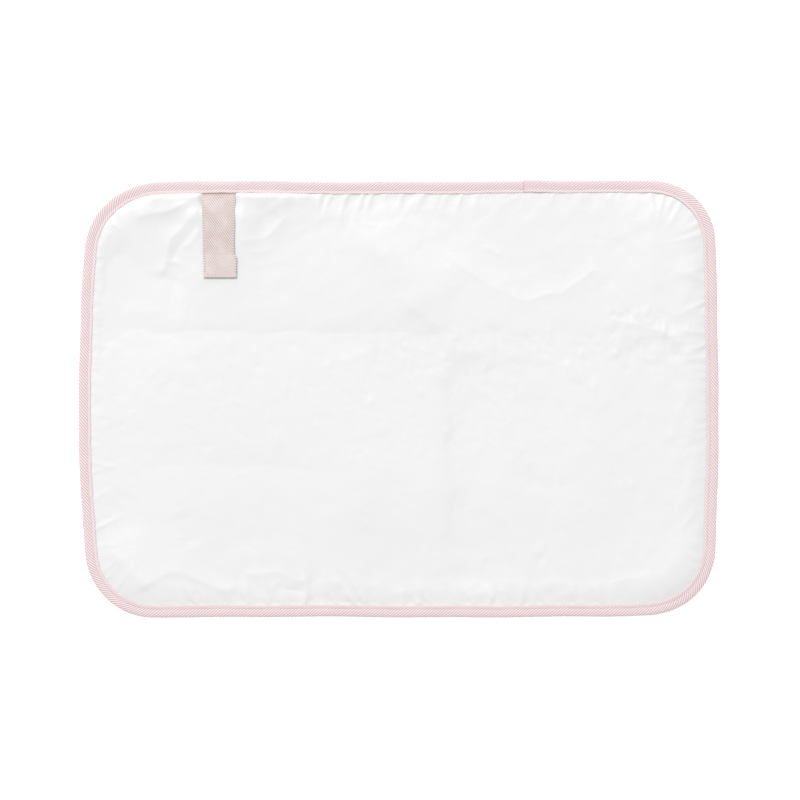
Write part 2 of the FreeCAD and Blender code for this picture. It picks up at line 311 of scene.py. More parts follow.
class Shader:
    """Small helper that builds a node material by name."""

    def __init__(self, name):
        self.material = bpy.data.materials.new(name)
        self.material.use_nodes = True
        self.tree = self.material.node_tree
        self.surface = self.tree.nodes["Principled BSDF"]

    def node(self, kind, **values):
        made = self.tree.nodes.new("ShaderNode" + kind)
        for key, value in values.items():
            if key in made.inputs:
                self.put(made.inputs[key], value)
            else:
                setattr(made, key, value)
        return made

    def put(self, socket, value):
        if isinstance(value, bpy.types.NodeSocket):
            self.tree.links.new(value, socket)
        else:
            socket.default_value = value

    def set(self, **values):
        for key, value in values.items():
            self.put(self.surface.inputs[key.replace("_", " ")], value)

    def uv(self):
        return self.node("UVMap", uv_map="UVMap").outputs["UV"]

    def split(self, vector):
        made = self.node("SeparateXYZ")
        self.put(made.inputs[0], vector)
        return made.outputs["X"], made.outputs["Y"]

    def maths(self, operation, first, second=0.0, third=0.0):
        made = self.node("Math", operation=operation)
        for socket, value in zip(made.inputs, (first, second, third)):
            self.put(socket, value)
        return made.outputs[0]

    def sine(self, turns):
        """Sine from 0 to 1 of a number of turns."""
        swing = self.maths("SINE", self.maths("MULTIPLY", turns, 2 * math.pi))
        return self.maths("MULTIPLY_ADD", swing, 0.5, 0.5)

    def wave(self, x, y, per_x, per_y):
        return self.sine(self.maths("MULTIPLY_ADD", x, per_x, self.maths("MULTIPLY", y, per_y)))

    def fade(self, value, start, end):
        """Smooth step from 0 at start to 1 at end."""
        made = self.node("MapRange", interpolation_type="SMOOTHSTEP")
        for socket, number in (("Value", value), ("From Min", start), ("From Max", end)):
            self.put(made.inputs[socket], number)
        return made.outputs[0]

    def noise(self, vector, scale, detail=3.0, roughness=0.5):
        made = self.node("TexNoise", Scale=scale, Detail=detail, Roughness=roughness)
        self.put(made.inputs["Vector"], vector)
        return made.outputs["Fac"]

    def ramp(self, factor, *stops):
        made = self.node("ValToRGB")
        self.put(made.inputs[0], factor)
        while len(made.color_ramp.elements) < len(stops):
            made.color_ramp.elements.new(0.5)
        for element, (place, colour) in zip(made.color_ramp.elements, stops):
            element.position = place
            element.color = (*colour, 1.0)
        return made.outputs["Color"]

    def mix(self, factor, first, second, blend="MIX"):
        made = self.node("Mix", data_type="RGBA", blend_type=blend)
        self.put(made.inputs[0], factor)
        for socket, value in ((made.inputs[6], first), (made.inputs[7], second)):
            self.put(socket, (*value, 1.0) if isinstance(value, tuple) else value)
        return made.outputs[2]

    def bump(self, height, distance, strength=1.0, after=None):
        made = self.node("Bump", Strength=strength, Distance=distance, Height=height)
        if after is not None:
            self.put(made.inputs["Normal"], after)
        return made.outputs["Normal"]


def laminate_material():
    """White wipe-clean film over a fine knit: soft gloss, faint cloth grain and small hard crinkles."""
    s = Shader("laminated_cloth")
    uv = s.uv()
    x, y = s.split(uv)
    cloudy = s.noise(uv, 9.0, 2.0)
    colour = s.ramp(cloudy, (0.3, (0.748, 0.748, 0.749)), (0.7, (0.762, 0.762, 0.761)))
    grain = s.maths("MULTIPLY", s.wave(x, y, 1600.0, 0.0), s.wave(x, y, 0.0, 1450.0))
    crackle = s.noise(uv, 260.0, 4.0, 0.55)
    rough = s.maths("MULTIPLY_ADD", s.noise(uv, 60.0, 3.0), 0.16, 0.34)
    soft = s.bump(crackle, 0.00012)
    s.set(Base_Color=colour, Roughness=rough, Normal=s.bump(grain, 0.00001, 0.5, soft))
    s.set(Specular_IOR_Level=0.45, Sheen_Weight=0.04, Sheen_Roughness=0.4)
    return s.material


def back_material():
    """Plain-woven white backing."""
    s = Shader("backing_cloth")
    uv = s.uv()
    x, y = s.split(uv)
    weave = s.maths("ADD", s.wave(x, y, 1300.0, 1300.0), s.wave(x, y, 1300.0, -1300.0))
    cloudy = s.noise(uv, 14.0, 3.0)
    colour = s.ramp(cloudy, (0.3, (0.69, 0.69, 0.68)), (0.7, (0.74, 0.74, 0.735)))
    soft = s.bump(s.noise(uv, 190.0, 3.0), 0.0003)
    s.set(Base_Color=colour, Roughness=s.maths("MULTIPLY_ADD", cloudy, 0.1, 0.74),
          Normal=s.bump(weave, 0.00006, 0.7, soft))
    s.set(Sheen_Weight=0.12)
    return s.material


def tape_material():
    """Pink and white diagonal stripes that run with the tape, on a fine weave."""
    s = Shader("striped_tape")
    uv = s.uv()
    along, across = s.split(uv)
    unsteady = s.maths("MULTIPLY_ADD", s.noise(uv, 320.0, 2.0), 0.18, -0.09)
    turns = s.maths("MULTIPLY_ADD", along, -math.sin(STRIPE_ANGLE) / STRIPE_PERIOD,
                    s.maths("MULTIPLY_ADD", across, -math.cos(STRIPE_ANGLE) / STRIPE_PERIOD, unsteady))
    sine = s.sine(turns)
    stripes = s.ramp(sine, (0.30, PINK), (0.62, PALE_PINK))
    paled = s.mix(s.maths("MULTIPLY", s.noise(uv, 40.0, 3.0), 0.10), stripes, (0.80, 0.72, 0.72))
    # painted highlight: the tape's turned edge on the face is mixed towards pale pink all round, standing in
    # for light on that flattened lip; the colour before it carries random wear
    lip_highlight = s.maths("LESS_THAN", across, LIP_WIDTH * MM)
    paled = s.mix(s.maths("MULTIPLY", lip_highlight, 0.45), paled, (0.83, 0.71, 0.725))
    yarn = s.maths("MULTIPLY", s.wave(along, across, 2600.0, 0.0), s.wave(along, across, 0.0, 2600.0))
    ribs = s.bump(sine, 0.00014, 0.7)
    s.set(Base_Color=paled, Roughness=s.maths("MULTIPLY_ADD", yarn, 0.12, 0.72),
          Normal=s.bump(yarn, 0.00008, 0.7, ribs))
    s.set(Sheen_Weight=0.10)
    return s.material


def webbing_material():
    """Dusty-pink twill webbing with a paler sealed end; painted highlight towards the free end and painted
    shadow at the sewn end.
    """
    s = Shader("twill_webbing")
    uv = s.uv()
    across, along = s.split(uv)
    rib = s.wave(across, along, 1.0 / (TWILL_ACROSS * MM), 1.0 / (TWILL_ALONG * MM))
    yarn = s.wave(across, along, -820.0, 560.0)
    fleck = s.noise(uv, 900.0, 2.0)
    colour = s.ramp(rib, (0.12, WEBBING_SHADE), (0.75, WEBBING_LIGHT))
    colour = s.mix(s.maths("MULTIPLY", fleck, 0.35), colour, (0.80, 0.69, 0.665))
    paled = s.ramp(s.noise(uv, 55.0, 2.0), (0.42, (0.0, 0.0, 0.0)), (0.62, (0.34, 0.34, 0.34)))
    colour = s.mix(paled, colour, (0.83, 0.74, 0.715))
    # painted highlight: the last 21-24 mm towards the free end is mixed paler, standing in for light falling
    # on that raised, upturned end
    painted_end_highlight = s.fade(along, 0.0235, 0.0205)
    colour = s.mix(s.maths("MULTIPLY", painted_end_highlight, 0.18), colour, (0.86, 0.79, 0.765))
    selvedge = s.maths("GREATER_THAN", s.maths("ABSOLUTE", across), 0.0129)
    dots = s.maths("MULTIPLY", selvedge, s.wave(across, along, 0.0, 1 / 0.0024))
    colour = s.mix(s.maths("MULTIPLY", selvedge, 0.35), colour, (0.84, 0.78, 0.76))
    colour = s.mix(s.maths("MULTIPLY", dots, 0.75), colour, (0.42, 0.35, 0.33))
    sealed = s.maths("LESS_THAN", along, 0.0043)
    hatch = s.maths("MULTIPLY", s.wave(across, along, 560.0, 560.0), s.wave(across, along, 560.0, -560.0))
    sealed_colour = s.ramp(hatch, (0.1, (0.60, 0.50, 0.48)), (0.5, (0.82, 0.73, 0.705)))
    colour = s.mix(s.maths("MULTIPLY", sealed, 0.8), colour, sealed_colour)
    # painted shadow: a dark reddish band where the webbing goes under the tape at its sewn end, standing in
    # for the shadow in the pinched gap there
    painted_root_shadow = s.fade(along, 0.0775, 0.0795)
    colour = s.mix(s.maths("MULTIPLY", painted_root_shadow, 0.75), colour, (0.40, 0.22, 0.19))
    s.set(Base_Color=colour, Roughness=s.maths("MULTIPLY_ADD", rib, -0.08, 0.78),
          Normal=s.bump(s.maths("MULTIPLY_ADD", yarn, 0.6, fleck), 0.00016, 0.8))
    s.set(Sheen_Weight=0.10)
    return s.material


def fibre_material(name, dark, light, scale, depth, roughness, sheen):
    """Fibrous or moulded surface: tone and relief from noise at the fibre's size."""
    s = Shader(name)
    uv = s.uv()
    fibre = s.noise(uv, scale, 4.0, 0.6)
    s.set(Base_Color=s.ramp(fibre, (0.3, dark), (0.7, light)),
          Roughness=s.maths("MULTIPLY_ADD", fibre, 0.12, roughness),
          Normal=s.bump(fibre, depth))
    s.set(Sheen_Weight=sheen)
    return s.material


def floor_material():
    s = Shader("pale_floor")
    place = s.node("TexCoord").outputs["Object"]
    tone = s.ramp(s.noise(place, 3.0), (0.3, (0.965, 0.965, 0.965)), (0.7, (0.98, 0.98, 0.98)))
    s.set(Base_Color=tone, Roughness=0.9)
    s.set(Specular_IOR_Level=0.1, Emission_Color=(1.0, 1.0, 1.0, 1.0), Emission_Strength=0.4)
    return s.material


LAMINATE = laminate_material()
BACKING = back_material()
TAPE = tape_material()
WEBBING = webbing_material()
THREAD = fibre_material("sewing_thread", (0.62, 0.50, 0.51), (0.80, 0.70, 0.71), 2600.0, 0.0001, 0.5, 0.2)
FIBRE = fibre_material("wadding_fibre", (0.70, 0.70, 0.68), (0.82, 0.82, 0.80), 420.0, 0.0008, 0.85, 0.3)
HOOKS = fibre_material("hook_nylon", (0.62, 0.58, 0.56), (0.72, 0.69, 0.67), 900.0, 0.0001, 0.38, 0.0)
LOOPS = fibre_material("loop_pile", (0.58, 0.55, 0.53), (0.78, 0.75, 0.73), 1300.0, 0.0004, 0.85, 0.35)


# ---------------------------------------------------------------- front cover


def rounded_line(points, rounds=2):
    """Cuts the corners of a line through some points, so that it bends softly."""
    for _ in range(rounds):
        softer = [points[0]]
        for (ax, ay), (bx, by) in zip(points, points[1:]):
            softer.append((0.75 * ax + 0.25 * bx, 0.75 * ay + 0.25 * by))
            softer.append((0.25 * ax + 0.75 * bx, 0.25 * ay + 0.75 * by))
        points = softer + [points[-1]]
    return points


def polyline_place(x, y, points):
    """Signed distance to a line through some points (positive on its left) and the share along it."""
    points = rounded_line(points)
    best = np.full(x.shape, 1e9)
    signed = np.zeros(x.shape)
    share = np.zeros(x.shape)
    lengths = [math.dist(a, b) for a, b in zip(points, points[1:])]
    gone = 0.0
    for (ax, ay), (bx, by), length in zip(points, points[1:], lengths):
        ux, uy = (bx - ax) / length, (by - ay) / length
        t = np.clip((x - ax) * ux + (y - ay) * uy, 0.0, length)
        dx, dy = x - ax - t * ux, y - ay - t * uy
        away = np.hypot(dx, dy)
        near = away < best
        best = np.where(near, away, best)
        signed = np.where(near, np.sign(ux * dy - uy * dx) * away, signed)
        share = np.where(near, (gone + t) / sum(lengths), share)
        gone += length
    return signed, share


def ends(share, fade):
    return smooth(share, 0.0, fade) * smooth(1.0 - share, 0.0, fade)


def crease(x, y, points, height, left, right, fade=0.2, sharp=1.0):
    """A fold line: a ridge (or valley when height is below zero) with its own width on each side.
    sharp is 1 for a pressed crease and 2 for a soft roll."""
    signed, share = polyline_place(x, y, points)
    width = np.where(signed > 0, left, right)
    rounded = np.sqrt(signed ** 2 + 0.8) - 0.9 if sharp == 1.0 else np.abs(signed)
    return height * ends(share, fade) * np.exp(-(np.clip(rounded, 0, None) / width) ** sharp)


# fold lines and wrinkles of the laminate: points, height, widths on the left and right of the line and, where
# they aren't the usual ones, how soon it fades towards its ends and its softness
CREASES = [
    # the folds in thirds
    ([(-296, 64), (-190, 62.5), (-100, 62), (-20, 61), (48, 60.5)], -1.25, 15, 46, 0.05, 1.0),
    ([(40, 61), (120, 60), (200, 59)], -0.40, 10, 22),
    ([(-270, -80), (-235, -64), (-190, -61), (-150, -62), (-100, -66), (-40, -70)], -0.75, 22, 30),
    # upright folds
    ([(58, 44), (61, 0), (63, -60), (63, -120), (66, -148), (74, -184)], -1.55, 32, 17, 0.1, 2.0),
    ([(48, 30), (50, -30), (52, -90), (52, -130), (58, -170)], -0.30, 5, 5, 0.15, 1.0),
    ([(-192, 138), (-193, 100), (-194, 60)], -0.42, 2.6, 4.0, 0.15, 1.0),
    ([(238, 188), (238, 140), (240, 88)], 0.40, 8, 9, 0.25, 2.0),
    ([(206, 186), (200, 120), (196, 84)], -0.22, 12, 14, 0.25, 2.0),
    ([(-28, -40), (-30, -80), (-38, -130)], 0.40, 22, 16, 0.3, 2.0),
    # broad rolls of the upper third
    ([(-42, 172), (-28, 156), (-12, 138), (9, 118), (20, 100), (34, 80), (54, 68)], 2.1, 30, 19, 0.32, 2.0),
    ([(-6, 106), (10, 90), (28, 76), (52, 65)], 0.45, 6, 8, 0.25, 1.0),
    ([(-38, 175), (-30, 166), (-18, 160)], 0.30, 3, 4, 0.25, 1.0),
    ([(34, 136), (65, 119), (90, 107), (106, 97), (120, 91)], 0.70, 12, 11, 0.3, 1.0),
    ([(98, 103), (120, 91), (137, 96), (152, 97), (163, 106), (175, 116), (181, 121), (188, 118), (196, 104)],
     0.55, 5.0, 7, 0.12, 1.0),
    ([(76, 145), (98, 134)], 0.36, 3, 3.5, 0.3, 1.0),
    ([(112, 182), (150, 142), (160, 124)], 0.45, 16, 16, 0.3, 2.0),
    ([(202, 152), (224, 126)], -0.30, 7, 8, 0.35, 1.0),
    ([(-100, 150), (-84, 120), (-80, 92)], 0.35, 18, 18, 0.3, 2.0),
    # crushed right end of the upper fold
    ([(194, 80), (208, 71), (226, 70), (244, 62), (268, 52)], 0.75, 6, 8, 0.12, 1.0),
    ([(198, 84), (204, 77), (212, 69)], -0.42, 2.2, 2.6),
    ([(218, 84), (228, 74), (242, 68)], 0.30, 2.6, 3.0, 0.25, 1.0),
    ([(206, 44), (236, 41), (272, 42)], -0.50, 12, 16),
    ([(150, 40), (172, 14), (194, -16)], 0.55, 14, 12, 0.3, 2.0),
    ([(160, 22), (176, 6), (188, -10)], -0.30, 4, 4, 0.3, 1.0),
    ([(118, 24), (142, 8), (160, -8)], 0.28, 8, 8, 0.3, 2.0),
    # pulls round the closing tab
    ([(-288, 126), (-262, 122), (-232, 116), (-206, 112), (-192, 112)], -1.9, 28, 42, 0.2, 2.0),
    ([(-250, 166), (-230, 175), (-206, 183), (-190, 187)], 1.5, 7, 7),
    ([(-188, 178), (-200, 164), (-212, 150), (-220, 134), (-224, 112)], 1.45, 8, 6.5, 0.12, 1.0),
    ([(-186, 166), (-196, 154), (-208, 138), (-214, 126)], -0.70, 4, 4),
    ([(-184, 160), (-192, 148), (-200, 138)], 0.60, 4, 4.5, 0.25, 1.0),
    ([(-224, 130), (-210, 126), (-198, 124)], 0.45, 5, 3.5, 0.25, 1.0),
    ([(-222, 116), (-206, 112), (-196, 112)], 0.32, 5, 5, 0.3, 1.0),
    ([(-150, 150), (-132, 149), (-119, 154), (-110, 162), (-103, 174)], 0.65, 4, 7, 0.12, 1.0),
    ([(-122, 184), (-112, 178), (-108, 168)], 0.40, 5, 5, 0.3, 1.0),
    ([(-148, 138), (-130, 138), (-114, 142)], 0.40, 5, 6, 0.3, 1.0),
    ([(-146, 124), (-126, 124), (-104, 128)], 0.22, 6, 7, 0.3, 1.0),
    # slack of the lower third
    ([(-202, -102), (-198, -122), (-190, -142)], -0.55, 8, 10, 0.25, 1.0),
    ([(-262, -84), (-250, -110), (-246, -132)], -0.45, 12, 16, 0.25, 2.0),
    ([(-282, -142), (-262, -148), (-246, -162), (-232, -180)], 0.95, 13, 11, 0.12, 1.0),
    ([(-226, -166), (-206, -163), (-190, -171), (-174, -177), (-148, -177)], 0.75, 9, 4.5, 0.12, 1.0),
    ([(-148, -160), (-132, -165), (-112, -164), (-96, -170), (-80, -170)], 0.70, 7, 8),
    ([(-116, -176), (-98, -181), (-84, -182)], -0.65, 4, 5),
    ([(-76, -160), (-64, -170), (-50, -172)], 0.40, 6, 6, 0.3, 1.0),
    ([(-170, -150), (-120, -144), (-70, -150)], 0.35, 14, 12, 0.3, 2.0),
    ([(100, -60), (134, -84), (160, -82), (176, -70)], -0.30, 9, 9, 0.25, 2.0),
    ([(196, -172), (218, -172), (240, -164)], 0.55, 7, 10),
    ([(130, -176), (148, -170), (170, -178)], 0.35, 7, 8, 0.3, 1.0),
]


# gathers along the seam: from and to near the edge, spacing, length, height, half width and slant
PUCKER_ROWS = [
    ((75, 204), (-118, 204), 9.5, 12.0, 0.90, 2.4, 0.22),
    ((225, 204), (75, 204), 8.5, 7.5, 0.40, 2.2, 0.10),
    ((-150, 204), (-288, 160), 9.5, 8.0, 0.35, 2.3, 0.0),
    ((290, 112), (225, 204), 15.0, 17.0, 0.85, 3.6, -0.10),
    ((299, 62), (290, 112), 12.0, 13.0, 0.60, 3.2, 0.10),
    ((300, 20), (299, 62), 7.5, 13.0, 0.70, 2.2, 0.0),
    ((300, -30), (300, 20), 5.8, 11.0, 0.32, 1.8, 0.0),
    ((292, -150), (300, -30), 9.5, 7.0, 0.22, 2.3, 0.0),
    ((-292, 150), (-298, -60), 7.5, 7.0, 0.24, 2.0, 0.0),
    ((-298, -60), (-262, -190), 18.0, 15.0, 0.42, 2.8, -0.15),
    ((-262, -190), (-200, -204), 16.0, 12.0, 0.28, 2.8, -0.3),
    ((-200, -204), (20, -204), 12.5, 17.0, 1.20, 3.3, -0.35),
    ((20, -204), (200, -204), 10.5, 13.0, 0.85, 2.8, -0.25),
    ((200, -204), (290, -150), 12.0, 12.0, 0.40, 2.8, 0.0),
]


def puckers(inset, along):
    """Height of the gathers at each point near the seam."""
    total = np.zeros(inset.shape)
    near = (inset > COVER_HEM_INSET - 4) & (inset < 62)
    depth = inset[near] - BINDING_WIDTH
    inwards = np.clip(depth, 0, None)
    place = along[near]
    found = np.zeros(len(place))
    for start, end, spacing, length, height, half, slant in PUCKER_ROWS:
        at = rim_at(*start)
        run = (rim_at(*end) - at) % RIM_LENGTH
        while run > 0:
            reach = length * random.uniform(0.55, 1.5)
            tall = height * random.uniform(0.35, 1.25)
            wide = half * random.uniform(0.7, 1.35)
            lean = slant + random.normal(0, 0.22)
            off = (place - at - lean * depth + RIM_LENGTH / 2) % RIM_LENGTH - RIM_LENGTH / 2
            rise = np.exp(-(off / (wide * (1 + 0.02 * inwards))) ** 2) - 0.35
            found += tall * rise * np.exp(-(inwards / reach) ** 1.6) * np.exp(-(off / (1.2 * spacing)) ** 4)
            step = spacing * random.uniform(0.45, 1.75)
            at += step
            run -= step
    total[near] = found
    return total


# small hard crinkles: middle of the patch, its half sizes, how many, direction in degrees and height
CRINKLES = [
    ((-70, 5), (190, 62), 320, -58, 0.13),
    ((150, -60), (125, 110), 330, -62, 0.12),
    ((120, 45), (140, 18), 190, -75, 0.15),
    ((-120, -110), (150, 70), 120, -30, 0.09),
    ((60, 120), (200, 60), 110, -50, 0.09),
    ((236, 60), (42, 24), 90, -75, 0.20),
]


def crinkles(x_line, y_line):
    """Short creased strokes scattered over the laminate, leaning the way the cloth was crushed."""
    total = np.zeros((len(x_line), len(y_line)))
    for (cx, cy), (rx, ry), count, direction, height in CRINKLES:
        for _ in range(count):
            px = cx + rx * random.uniform(-1, 1)
            py = cy + ry * random.uniform(-1, 1)
            angle = math.radians(direction + random.normal(0, 16))
            long = random.uniform(2.5, 7.5)
            wide = random.uniform(1.8, 3.6)
            tall = height * random.choice([-1.0, 1.0]) * random.uniform(0.5, 1.6)
            i = slice(*np.searchsorted(x_line, [px - 3 * long, px + 3 * long]))
            j = slice(*np.searchsorted(y_line, [py - 3 * long, py + 3 * long]))
            dx = x_line[i][:, None] - px
            dy = y_line[j][None, :] - py
            u = dx * math.cos(angle) + dy * math.sin(angle)
            v = -dx * math.sin(angle) + dy * math.cos(angle)
            total[i, j] += tall * np.exp(-(u / long) ** 2 - np.abs(v / wide) ** 1.4)
    return total


def dome(away, reach):
    """Cosine rise from 0 at the edge to 1 at reach."""
    return 0.5 - 0.5 * np.cos(math.pi * np.clip(away / reach, 0, 1))


def base_height(x, y, inset):
    """Padded rise from the seam: steep on the right and at the lower corners, which the wadding fills."""
    depth = np.clip(inset - BINDING_WIDTH + 1.0, 0.0, None)
    right = smooth(x, 170.0, 285.0)
    low_corners = smooth(-y, 110.0, 175.0) * smooth(np.abs(x), 185.0, 262.0)
    uneven = 1.0 + 0.7 * np.sin(x / 17.0 + 1.0) * np.sin(x / 41.0)
    rise = 0.15 + 0.55 * smooth(-y, 130.0, 190.0) * uneven + 2.5 * right
    rise = rise + np.where(x < 0, 2.0, 1.0) * low_corners
    edge = 1.0 - (1.0 - np.clip(depth / (22.0 + 7.0 * low_corners), 0, 1)) ** 2
    middle = dome(HALF_WIDTH - np.abs(x), 120.0) * dome(HALF_DEPTH - np.abs(y), 140.0)
    return COVER_RIM_HEIGHT + rise * edge + (2.5 - 1.5 * right) * middle


def beside_tab(x):
    """Distance outwards from the tab's long edges."""
    return np.abs(x - TAB_X) - TAB_WIDTH / 2


def stand_up(x, y, inset):
    """Beside the closing tab the cover stands up behind the seam and falls away inwards."""
    depth = np.clip(inset - BINDING_WIDTH, 0.0, None)
    corner = smooth(-x, 226.0, 262.0)
    saddle = 1.0 - 0.4 * np.exp(-(np.clip(beside_tab(x), 0, None) / 7.0) ** 2)
    stretch = smooth(-x, 62.0, 125.0) * smooth(y, 112.0, 160.0) * saddle
    rise = 1.0 - np.exp(-depth / (1.6 + 6.0 * corner))
    fall = 0.58 * np.exp(-depth / 14.0) + 0.42 * np.exp(-depth / 42.0)
    return stretch * (5.9 - 2.2 * corner) * rise * fall


def gather(x, y, rest):
    """Cloth simulation of the cover sewn to a shorter edge: a little spare cloth along the seam buckles into
    gathers over the wadding. It works at ten times the size, where the solver's springs behave, and returns
    how far each point moved."""
    scale = 10 * MM
    mesh = bpy.data.meshes.new("gather")
    mesh.from_pydata((rest.reshape(-1, 3) * scale).tolist(), [], grid_faces(*x.shape).tolist())
    cloth = add_object("gather", mesh)
    inset, _ = rim_place(x, y)
    held = cloth.vertex_groups.new(name="held")
    spare = cloth.vertex_groups.new(name="spare")
    fixed = np.ravel(inset < BINDING_WIDTH)
    held.add(np.nonzero(fixed)[0].tolist(), 1.0, "REPLACE")
    held.add(np.nonzero(~fixed)[0].tolist(), 0.05, "REPLACE")
    slack = np.ravel(np.round(np.exp(-np.clip(inset - BINDING_WIDTH, 0, None) / 18.0), 1))
    for weight in np.unique(slack):
        spare.add(np.nonzero(slack == weight)[0].tolist(), float(weight), "REPLACE")
    cloth_modifier = cloth.modifiers.new("cloth", "CLOTH")
    settings = cloth_modifier.settings
    settings.quality = 4
    settings.mass = 0.3
    settings.tension_stiffness = settings.compression_stiffness = 20
    settings.shear_stiffness = 8
    settings.bending_stiffness = 0.6
    settings.air_damping = 3
    settings.vertex_group_mass = held.name
    settings.pin_stiffness = 2.0
    settings.vertex_group_shrink = spare.name
    settings.shrink_min = -0.0015
    settings.shrink_max = -0.012
    settings.effector_weights.gravity = 0
    cloth_modifier.collision_settings.use_collision = False
    cloth_modifier.point_cache.frame_end = SIM_FRAMES
    for moment in range(1, SIM_FRAMES + 1):
        bpy.context.scene.frame_set(moment)
    shape = cloth.evaluated_get(bpy.context.evaluated_depsgraph_get()).data
    found = np.empty(len(mesh.vertices) * 3, np.float32)
    shape.vertices.foreach_get("co", found)
    bpy.data.objects.remove(cloth)
    bpy.data.meshes.remove(mesh)
    bpy.context.scene.frame_set(1)
    return found.reshape(rest.shape) / scale - rest


def blurred(values, radius):
    """Gaussian blur of a grid with the cloth cell's spacing; the radius is in millimetres."""
    reach = int(3 * radius / CELL)
    kernel = np.exp(-(np.arange(-reach, reach + 1) * CELL / radius) ** 2)
    kernel /= kernel.sum()
    for axis in (0, 1):
        padded = np.pad(values, [(reach, reach) if side == axis else (0, 0) for side in (0, 1)], mode="edge")
        values = np.apply_along_axis(np.convolve, axis, padded, kernel, "valid")
    return values


def finer(values):
    """Doubles a grid with a smooth four-point rule along both directions."""
    for axis in (0, 1):
        values = np.moveaxis(values, axis, 0)
        padded = np.concatenate([values[:1], values, values[-1:]])
        middle = (9 * (padded[1:-2] + padded[2:-1]) - padded[:-3] - padded[3:]) / 16
        out = np.empty((2 * len(values) - 1,) + values.shape[1:])
        out[0::2] = values
        out[1::2] = middle
        values = np.moveaxis(out, 0, axis)
    return values


columns = int(round(HALF_WIDTH / CELL))
rows = int(round(HALF_DEPTH / CELL))
coarse_x, coarse_y = np.meshgrid(
    np.linspace(-HALF_WIDTH, HALF_WIDTH, 2 * columns + 1),
    np.linspace(-HALF_DEPTH, HALF_DEPTH, 2 * rows + 1), indexing="ij")
coarse_inset, _ = rim_place(coarse_x, coarse_y)
coarse = np.stack([coarse_x, coarse_y, base_height(coarse_x, coarse_y, coarse_inset)], -1)
# the simulated shift is used mirrored, left to right, without its broad part, and mostly near the seam
shaken = coarse.copy()
shaken[..., 2] += np.where(coarse_inset > 13, random.normal(0, 0.04, coarse_x.shape), 0)
shift = gather(coarse_x, coarse_y, shaken)[::-1] * (-1.0, 1.0, 1.0)
shift[..., 2] -= blurred(shift[..., 2], 16.0)
shift = np.clip(shift, -1.2, 1.2)
shift *= smooth(coarse_inset, BINDING_WIDTH - 1.0, BINDING_WIDTH + 2.0)[..., None]
shift *= 0.15 + 0.45 * (1.0 - smooth(coarse_inset, 18.0, 55.0))[..., None]

shift = finer(shift)
x_line = np.linspace(-HALF_WIDTH, HALF_WIDTH, shift.shape[0])
y_line = np.linspace(-HALF_DEPTH, HALF_DEPTH, shift.shape[1])
flat_x, flat_y = np.meshgrid(x_line, y_line, indexing="ij")
inset, along = rim_place(flat_x, flat_y)

padded_height = base_height(flat_x, flat_y, inset)
height = padded_height + stand_up(flat_x, flat_y, inset)
inside = smooth(inset, BINDING_WIDTH + 0.5, BINDING_WIDTH + 13.0)
wander_x = flat_x + 1.6 * np.sin(flat_y / 11.0 + np.sin(flat_x / 17.0))
wander_x += 1.1 * np.sin(flat_x / 6.1 + flat_y / 8.3)
wander_y = flat_y + 1.3 * np.sin(flat_x / 13.0 + np.sin(flat_y / 15.0))
wander_y += 0.9 * np.sin(flat_y / 5.7 - flat_x / 7.9)
for line in CREASES:
    height += inside * crease(wander_x, wander_y, *line)
for wide, tall in ((110.0, 0.05), (60.0, 0.035), (34.0, 0.02)):
    for _ in range(5):
        angle, phase = random.uniform(0, math.pi), random.uniform(0, 2 * math.pi)
        swing = (flat_x * math.cos(angle) + flat_y * math.sin(angle)) * 2 * math.pi / wide
        height += inside * tall * np.sin(swing + phase + 1.5 * np.sin(swing * 0.37 + phase))
height += inside * crinkles(x_line, y_line)
height += puckers(inset, along) * smooth(inset, BINDING_WIDTH - 2.5, BINDING_WIDTH + 2.5)

# the cover rises under the tab, dips to the seam at its root and stays between the back cover and its ceiling
from_tab = beside_tab(flat_x)
before_root = smooth(-flat_y, -188, -166)
mound = smooth(-from_tab, -30, 2) * smooth(flat_y, TAB_END - 42, TAB_END + 6) * before_root
under_tab = smooth(-from_tab, -7, 2) * smooth(flat_y, TAB_END - 7, TAB_END + 2) * before_root
height += mound * (MOUND_HEIGHT - padded_height)

front = np.stack([flat_x, flat_y, height], -1) + shift
level = np.minimum(front[..., 2], COVER_CEILING)
level += under_tab * (TAB_BED - level)
near_root = smooth(-from_tab, -5, 0.5) * smooth(flat_y, 174, 188)
level -= near_root * np.clip(level - 2.5 - 0.05 * (192 - flat_y), 0, None)
level = np.where(inset < BINDING_WIDTH, np.minimum(level, COVER_HEM_TOP), level)
floor_share = np.exp(np.minimum(level - COVER_FLOOR - 0.3, 0.0) / 0.3)
front[..., 2] = np.maximum(level, COVER_FLOOR + 0.3 * floor_share)
front = settle(front)

cover_faces = grid_faces(*flat_x.shape)
kept = (inset.ravel()[cover_faces] > COVER_HEM_INSET).all(axis=1)
cover_faces = cover_faces[kept]
cover_uv = np.stack([flat_x, flat_y], -1) * MM

front_upper, front_lower = two_halves("front_cover", front, cover_faces, flat_y, LAMINATE, cover_uv)
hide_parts("front_cover_upper", "front_cover_middle")
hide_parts("front_cover_lower")

# ---------------------------------------------------------------- back cover and wadding

# the back's grid takes every second point of the front's
back_x, back_y, back_inset, back_along = (grid[::2, ::2] for grid in (flat_x, flat_y, inset, along))
back_height = BACK_HEIGHT + 0.10 * np.sin(back_x / 23.0 + np.sin(back_y / 31.0)) * np.sin(back_y / 27.0 + 1.0)
back_height += 0.35 * puckers(back_inset, back_along) * smooth(back_inset, 12, 16)
back_height = np.clip(back_height, 0.82, 1.25)
back = settle(np.stack([back_x, back_y, back_height], -1))
back_faces = grid_faces(*back_x.shape)
back_faces = back_faces[(back_inset.ravel()[back_faces] > COVER_HEM_INSET).all(axis=1)][:, ::-1]
back_uv = np.stack([back_x, back_y], -1) * MM
back_upper, back_lower = two_halves("back_cover", back, back_faces, back_y, BACKING, back_uv)
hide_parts("back_cover_upper", "back_cover_middle")
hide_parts("back_cover_lower")

